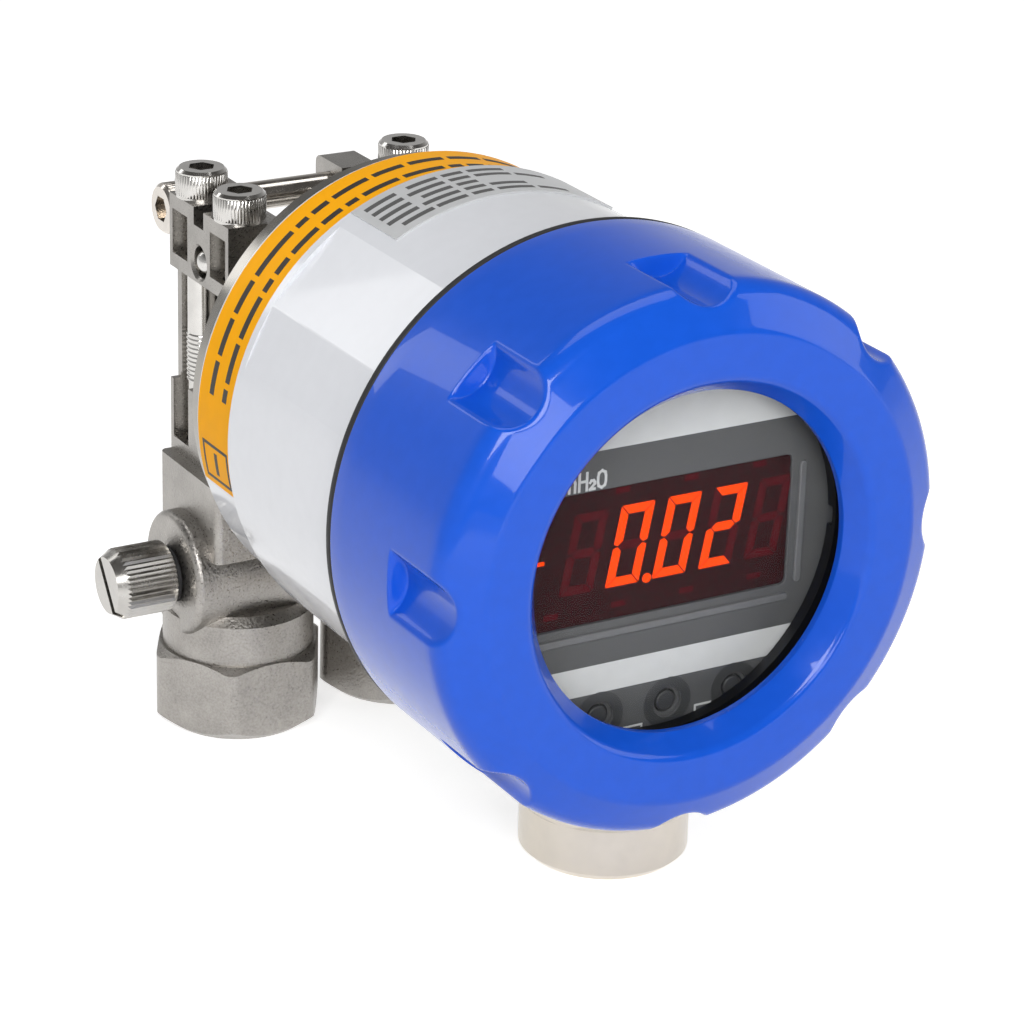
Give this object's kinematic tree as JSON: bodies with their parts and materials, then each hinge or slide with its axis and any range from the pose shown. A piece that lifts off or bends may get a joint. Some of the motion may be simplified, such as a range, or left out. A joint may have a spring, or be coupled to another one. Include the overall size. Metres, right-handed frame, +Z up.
{
  "type": "differential pressure transmitter",
  "caption": "Differential pressure transmitter: round housing with screwed window cap over a lit display, conduit adapter below, and flanged sensor with process connectors and vent valves.",
  "frame": {"origin": "middle of the base: under the centre of the overall box, on the plane of the three feet (two process connectors and the conduit adapter)", "axes": "+Z up, -Y the way the display faces, +X to the right as the display is read"},
  "size_m": [0.085, 0.141, 0.1115],
  "materials": {
    "cap_paint": "gloss enamel",
    "housing_paint": "gloss enamel",
    "cast_stainless": "sand cast, satin",
    "bright_stainless": "polished",
    "turned_stainless": "turned",
    "nickel_brass": "nickel plated",
    "window": "clear",
    "seal_rubber": "satin",
    "ring_black": "black anodised",
    "bezel_grey": "satin printed",
    "filter_red": "dark red tint",
    "led_black": "satin",
    "button_grey": "satin",
    "board_green": "solder mask",
    "terminal_plastic": "satin",
    "plated_screw": "zinc plated",
    "band_orange": "printed film",
    "plate_silver": "satin film"
  },
  "bodies": {
    "transmitter": {"cap_seal": "seal_rubber", "housing": "housing_paint", "display_bezel": "bezel_grey", "led_filter": "filter_red", "led_module": "led_black", "display_board": "board_green", "display_screws": "plated_screw", "display_standoffs": "plated_screw", "button_switches": "terminal_plastic", "power_board": "board_green", "board_posts": "plated_screw", "board_screws": "plated_screw", "terminal_block": "terminal_plastic", "terminal_screws": "plated_screw", "conduit_adapter": "nickel_brass", "conduit_seal": "seal_rubber", "rear_plate": "turned_stainless", "rear_seal": "seal_rubber", "plate_screws": "bright_stainless", "sensor_body": "turned_stainless", "neck_nut": "turned_stainless", "flange_low": "cast_stainless", "flange_high": "cast_stainless", "fill_ball_low": "bright_stainless", "fill_ball_high": "bright_stainless", "diaphragm_low": "bright_stainless", "diaphragm_high": "bright_stainless", "cell_seal_low": "seal_rubber", "cell_seal_high": "seal_rubber", "tie_bolts": "bright_stainless", "clamp_bolts": "bright_stainless", "connector_low": "cast_stainless", "connector_high": "cast_stainless", "process_seal_low": "seal_rubber", "process_seal_high": "seal_rubber", "colour_band": "band_orange", "rating_plate": "plate_silver"},
    "cap": {"cap": "cap_paint", "glass_gasket": "seal_rubber", "glass_retaining_ring": "ring_black"},
    "window": {"window_glass": "window"},
    "button_1": {"push_button_1": "button_grey"},
    "button_2": {"push_button_2": "button_grey"},
    "button_3": {"push_button_3": "button_grey"},
    "vent_low_carrier": {"vent_seal_low": "seal_rubber"},
    "vent_low": {"vent_valve_low": "turned_stainless"},
    "vent_high_carrier": {"vent_seal_high": "seal_rubber"},
    "vent_high": {"vent_valve_high": "turned_stainless"}
  },
  "joints": [
    {"name": "cap_travel", "type": "slide", "parent": "transmitter", "child": "window", "axis": [0, -1, 0], "range_m": [0, 0.01502]},
    {"name": "cap_turn", "type": "hinge", "parent": "window", "child": "cap", "pos_m": [0, -0.0705, 0.069], "axis": [0, -1, 0], "range_deg": [0, 2700]},
    {"name": "vent_low_travel", "type": "slide", "parent": "transmitter", "child": "vent_low_carrier", "axis": [-1, 0, 0], "range_m": [0, 0.003]},
    {"name": "vent_low_turn", "type": "hinge", "parent": "vent_low_carrier", "child": "vent_low", "pos_m": [-0.03, 0.0495, 0.028], "axis": [-1, 0, 0], "range_deg": [0, 1082]},
    {"name": "vent_high_travel", "type": "slide", "parent": "transmitter", "child": "vent_high_carrier", "axis": [1, 0, 0], "range_m": [0, 0.003]},
    {"name": "vent_high_turn", "type": "hinge", "parent": "vent_high_carrier", "child": "vent_high", "pos_m": [0.03, 0.0495, 0.028], "axis": [1, 0, 0], "range_deg": [0, 1082]},
    {"name": "button_1_press", "type": "slide", "parent": "transmitter", "child": "button_1", "axis": [0, 1, 0], "range_m": [0, 0.0005], "stiffness_N_per_m": 800, "springref_m": -0.0005},
    {"name": "button_2_press", "type": "slide", "parent": "transmitter", "child": "button_2", "axis": [0, 1, 0], "range_m": [0, 0.0005], "stiffness_N_per_m": 800, "springref_m": -0.0005},
    {"name": "button_3_press", "type": "slide", "parent": "transmitter", "child": "button_3", "axis": [0, 1, 0], "range_m": [0, 0.0005], "stiffness_N_per_m": 800, "springref_m": -0.0005}
  ],
  "couplings": [
    {"joint": "cap_travel", "follows": "cap_turn", "m_per_rad": 0.00031831},
    {"joint": "vent_low_turn", "follows": "vent_low_travel", "rad_per_m": 6283.2},
    {"joint": "vent_high_turn", "follows": "vent_high_travel", "rad_per_m": 6283.2}
  ]
}
